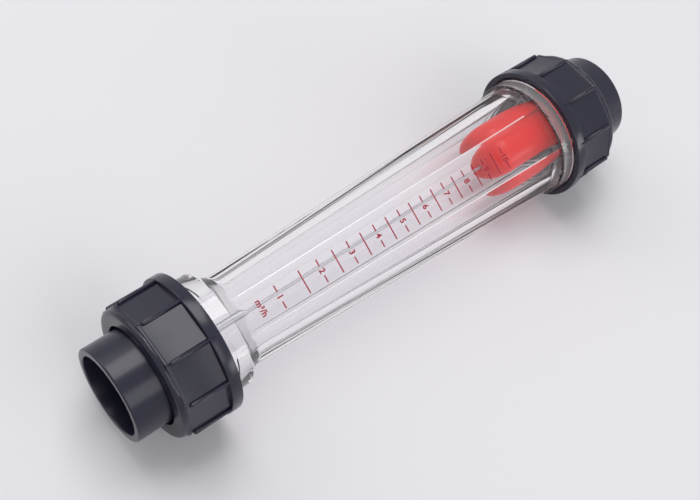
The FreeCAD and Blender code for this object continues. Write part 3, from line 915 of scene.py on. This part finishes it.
class METER_OT_rod(bpy.types.Operator):
    """Make the guide rod, its stop sleeves and the two rod supports"""

    bl_idname = "meter.rod"
    bl_label = "Rod and supports"

    def execute(self, context):
        r, t = sizes("meter_rod"), sizes("meter_tube")
        low, high, radius, edge = ROD_LOW[0], ROD_HIGH[0], r.rod / 2, r.edge
        rod = bar("steel_rod", [(low, radius - edge), (low + edge, radius),
                                (high - edge, radius), (high, radius - edge)], 48, AXIS_Z)
        rod.data.set_sharp_from_angle(angle=math.radians(30))
        finish_piece(rod, "meter_tube", "steel", "Drawn steel", "guide_rod")
        for end in ("inlet", "outlet"):
            node = end + "_stop_sleeve"
            low, high = (corner[0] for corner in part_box(node))
            sleeve = turned(end + "_sleeve", [
                (low, r.sleeve / 2, edge), (high, r.sleeve / 2, edge),
                (high, radius), (low, radius),
            ], 48)
            finish_piece(sleeve, "meter_tube", "steel", "Drawn steel", node)
            seat = t.seat_low if end == "inlet" else t.seat_high
            self.support(end, seat / 2 - r.rim_gap, r, t)
        return {"FINISHED"}

    def support(self, end, outer, r, t):
        face = sizes("meter_union").face
        back = face + t.seat_depth
        inner, edge = outer - r.rim_wall, 0.4 * MM
        rim = turned(end + "_support_rim", placed([
            (face, inner, edge), (face, outer, edge), (back, outer, edge), (back, inner, edge),
        ], end), 128)
        low, reach = face + r.hub_back, r.hub / 2
        high = low + r.hub_length
        hub = turned(end + "_support_hub", placed([
            (low, r.rod / 2), (low, reach, 0.5 * MM), (high - 2 * MM, reach, 0.5 * MM),
            (high, reach - 2 * MM, 0.5 * MM), (high, r.rod / 2),
        ], end), 64)
        one = self.arm(end, r, back, (outer + inner) / 2)
        arms = repeated_round(end + "_support_arms", one, r.arms, 0.0, "Pale support plastic")
        for piece in (rim, hub, arms):
            nodes = (end + "_rod_support",) if piece is rim else ()
            finish_piece(piece, "meter_tube", "pale_plastic", "Pale support plastic", *nodes)

    def arm(self, end, r, back, outer):
        """One arm, straight up from the axis at zero height, with rounded edges."""
        mouth, sign = facing(end)
        shape = bmesh.new()
        bmesh.ops.create_cube(shape, size=1.0)
        for v in shape.verts:
            x = back - r.arm_length if v.co.x < 0 else back
            z = r.arm_inner if v.co.z < 0 else outer
            v.co = Vector((mouth + sign * x, v.co.y * r.arm_width, z))
        long_edges = [e for e in shape.edges if abs(e.verts[0].co.z - e.verts[1].co.z) > MM]
        bmesh.ops.bevel(shape, geom=long_edges, offset=0.7 * MM, segments=3, profile=0.5,
                        affect="EDGES")
        bmesh.ops.recalc_face_normals(shape, faces=shape.faces)
        return bpy.data.objects.new("one_arm", mesh_of("one_arm", shape))


class METER_OT_float(bpy.types.Operator):
    """Make the red float: the shell and its cap"""

    bl_idname = "meter.float"
    bl_label = "Float"

    def execute(self, context):
        f = sizes("meter_float")
        nose, joint, tail = FLOAT_LOW[0], FLOAT_HIGH[0], CAP_HIGH[0]
        outer = (FLOAT_HIGH[1] - FLOAT_LOW[1]) / 2
        bore, lip = f.bush_bore / 2, f.bush_lip
        inner, core, bush, clear = outer - f.wall, f.core / 2, f.bush / 2, f.clear / 2
        nose_in, tail_in = nose + f.bush_length, tail - f.bush_length
        r = f.nose_round
        shell = turned("float_moulding", [
            (nose, bore, 0.2 * MM),
            *((nose + r * along, outer - r + r * up) for along, up in quarter(16)),
            (joint, outer, 0.35 * MM), (joint, inner),
            (nose + r, inner, 0.5 * MM), (nose + r, core, 0.5 * MM),
            (joint, core), (joint, bush), (tail_in, bush), (tail_in, clear),
            (nose_in, clear), (nose_in, bush), (nose + lip, bush), (nose + lip, bore),
        ], 192)
        finish_piece(shell, "float", "red_float", "Red float plastic", "float_shell")
        lid = turned("float_lid", [
            (joint - f.lip, core), (joint - f.lip, inner, 0.3 * MM),
            (joint, inner), (joint, outer, 0.35 * MM),
            (tail, outer, f.cap_round), (tail, bore, 0.2 * MM),
            (tail - lip, bore), (tail - lip, bush), (joint, bush), (joint, core),
        ], 192, steps=5)
        finish_piece(lid, "float", "red_float", "Red float plastic", "float_cap")
        for name, low, high in (("nose", nose + lip, nose_in), ("tail", tail_in, tail - lip)):
            piece = turned(name + "_bush", [
                (low, bore), (low, bush, 0.2 * MM), (high, bush, 0.2 * MM), (high, bore),
            ], 64)
            finish_piece(piece, "float", "bush_white", "White bush plastic",
                         "float_" + name + "_bush")
        return {"FINISHED"}


# ---- printed scale ----


def flat_apothem(station):
    """Distance of the tube's flats from the axis at a place along it, and their slope."""
    t = sizes("meter_tube")
    slope = (t.flats_high - t.flats_low) / (TUBE_LENGTH - t.flats_inset - t.flats_start) / 2
    return t.flats_low / 2 + slope * (station - TUBE_LOW[0] - t.flats_start), slope


def print_on(name, shape, s):
    """Lay a drawing on the scale's flat as a printed piece. In the drawing X runs up the meter, Y
    across it to the left and Z out of it."""
    mesh = mesh_of(name, shape)
    zero, slope = flat_apothem(0.0)
    for v in mesh.vertices:
        v.co.z += zero + slope * v.co.x
    mesh.transform(Matrix.Translation((0, 0, AXIS_Z)) @ Matrix.Rotation(s.flat, 4, "X"))
    finish_piece(linked(name, mesh), "meter_tube", "red_float", "Scale ink")


def slab(shape, x, y, wide, tall, low, high):
    """A thin box added to a bmesh."""
    for v in bmesh.ops.create_cube(shape, size=1.0)["verts"]:
        v.co = Vector((x + v.co.x * wide, y + v.co.y * tall, low if v.co.z < 0 else high))


def mark_place(s, flow):
    """Where a flow's mark lies along the axis. The lowest number is 1."""
    part = (flow - 1) / (s.numbers - 1)
    return s.first + (s.last - s.first) * part**s.power


class METER_OT_scale(bpy.types.Operator):
    """Print the scale on the tube: marks, plain numbers and a unit"""

    bl_idname = "meter.scale"
    bl_label = "Printed scale"

    def execute(self, context):
        s = sizes("meter_scale")
        low, high = s.proud, s.proud + s.thick
        middle = -flat_apothem(0.0)[0] * math.sin(s.centre)
        # a numbered mark is broken for its number, and a plain one lies between each two
        arm = (s.mark_length - s.gap) / 2
        shift = (s.mark_length - arm) / 2
        shape = bmesh.new()
        for half_step in range(2 * s.numbers - 1):
            x = mark_place(s, 1 + half_step / 2)
            if half_step % 2:
                slab(shape, x, middle, s.mark_width, s.mark_length, low, high)
                continue
            for y in (middle - shift, middle + shift):
                slab(shape, x, y, s.mark_width, arm, low, high)
        print_on("scale_marks", shape, s)
        words = [(str(n), mark_place(s, n), s.number_height) for n in range(1, s.numbers + 1)]
        words.append(("m³/h", s.unit_place, s.unit_height))
        shape = bmesh.new()
        for text, x, height in words:
            mesh = self.word(text, x, middle, height, s)
            shape.from_mesh(mesh)
            bpy.data.meshes.remove(mesh)
        bmesh.ops.remove_doubles(shape, verts=shape.verts, dist=0.001 * MM)
        bmesh.ops.recalc_face_normals(shape, faces=shape.faces)
        print_on("scale_numbers", shape, s)
        return {"FINISHED"}

    def word(self, text, x, y, height, s):
        """Text as a thin mesh, its up towards the outlet."""
        curve = bpy.data.curves.new("word", "FONT")
        curve.body = text
        # the font's capitals are 0.7 of its size high
        curve.size = height / 0.7
        curve.align_x = curve.align_y = "CENTER"
        curve.extrude = s.thick / 2
        curve.resolution_u = 4
        curve.offset = s.bold
        holder = linked("word", curve)
        graph = bpy.context.evaluated_depsgraph_get()
        mesh = bpy.data.meshes.new_from_object(holder.evaluated_get(graph))
        bpy.data.objects.remove(holder)
        turn = Matrix(((0, 1, 0), (-1, 0, 0), (0, 0, 1))).to_4x4()
        mesh.transform(Matrix.Translation((x, y, s.proud + s.thick / 2)) @ turn)
        return mesh


# ---- stage ----


class METER_OT_stage(bpy.types.Operator):
    """Make the floor, the lamps and the camera"""

    bl_idname = "meter.stage"
    bl_label = "Studio"

    def execute(self, context):
        st, tints = sizes("meter_stage"), sizes("meter_finish")
        scene = context.scene
        scene.view_settings.view_transform = "Standard"
        self.floor(st, tints)
        self.lamps()
        self.world(st)
        camera = bpy.data.cameras.new("camera")
        camera.lens = st.lens
        camera.sensor_width = 36.0
        camera.clip_end = 100.0
        holder = linked("camera", camera)
        forward = Vector(st.aim).normalized()
        right = forward.cross(Vector(st.upward)).normalized()
        turn = Matrix((right, right.cross(forward), -forward)).transposed().to_4x4()
        holder.matrix_world = Matrix.Translation(Vector(st.place)) @ turn
        scene.camera = holder
        return {"FINISHED"}

    def floor(self, st, tints):
        half = st.floor_size / 2
        mesh = bpy.data.meshes.new("floor")
        rim = [(half * math.cos(a), half * math.sin(a), 0) for a in even_clocks(96)]
        mesh.from_pydata(rim, [], [tuple(range(len(rim)))])
        nodes = Nodes("Pale floor")
        tone = nodes.tones(nodes.noise(1.5, 3.0), tints.floor, 0.985, 1.015)
        nodes.shader(Roughness=0.9, Base_Color=tone)
        mesh.materials.append(nodes.material)
        linked("floor", mesh)

    def lamps(self):
        # name, place and size in metres, and power in watts
        lights = (
            ("key", (0.25, 0.75, 2.3), (1.5, 1.5), 31.0),
            ("fill", (-0.2, -1.9, 1.7), (1.4, 1.4), 12.0),
            ("back", (-0.7, 1.9, 1.5), (1.4, 1.4), 9.0),
            ("low", (1.0, -1.75, 0.46), (1.3, 0.6), 10.0),
        )
        for name, place, (wide, tall), power in lights:
            lamp = bpy.data.lights.new(name, "AREA")
            lamp.shape = "RECTANGLE"
            lamp.size, lamp.size_y = wide, tall
            lamp.energy = power
            holder = linked(name, lamp)
            holder.visible_camera = holder.visible_transmission = False
            holder.location = place
            aim = Vector((0, 0, AXIS_Z)) - Vector(place)
            holder.rotation_euler = aim.to_track_quat("-Z", "Y").to_euler()

    def world(self, st):
        """Plain soft light, and a pale room for what is seen directly, in gloss and through the
        tube."""
        world = bpy.data.worlds.new("studio")
        bpy.context.scene.world = world
        world.use_nodes = True
        graph = Graph(world.node_tree)
        path = graph.add("ShaderNodeLightPath").outputs
        seen = path["Is Camera Ray"]
        for ray in ("Is Glossy Ray", "Is Transmission Ray"):
            seen = graph.maths("MAXIMUM", seen, path[ray])
        background = world.node_tree.nodes["Background"]
        background.inputs["Color"].default_value = (0.96, 0.96, 0.98, 1)
        graph.feed(background.inputs["Strength"], graph.ranged(seen, st.light, st.backdrop))


class METER_PT_panel(bpy.types.Panel):
    """Everything of the meter, in the sidebar"""

    bl_label = "Flow meter"
    bl_space_type = "VIEW_3D"
    bl_region_type = "UI"
    bl_category = "Flow Meter"

    def draw(self, context):
        for step in STEPS:
            self.layout.operator(step.bl_idname)
        for group, kind in GROUPS.items():
            box = self.layout.box()
            box.label(text=kind.__doc__)
            for key in kind.__annotations__:
                label = key.replace("_", " ").capitalize()
                box.prop(getattr(context.scene, group), key, text=label)


STEPS = (
    METER_OT_finishes, METER_OT_tube, METER_OT_nuts, METER_OT_connectors, METER_OT_rod,
    METER_OT_float, METER_OT_scale, METER_OT_stage,
)


def register():
    for kind in (*GROUPS.values(), *STEPS, METER_PT_panel):
        bpy.utils.register_class(kind)
    for name, kind in GROUPS.items():
        setattr(bpy.types.Scene, name, PointerProperty(type=kind))


def unregister():
    for name in GROUPS:
        delattr(bpy.types.Scene, name)
    for kind in reversed((*GROUPS.values(), *STEPS, METER_PT_panel)):
        bpy.utils.unregister_class(kind)


def main():
    register()
    for step in STEPS:
        group, name = step.bl_idname.split(".")
        if getattr(getattr(bpy.ops, group), name)() != {"FINISHED"}:
            raise RuntimeError(step.bl_label + " was not made")


if __name__ == "__main__":
    main()
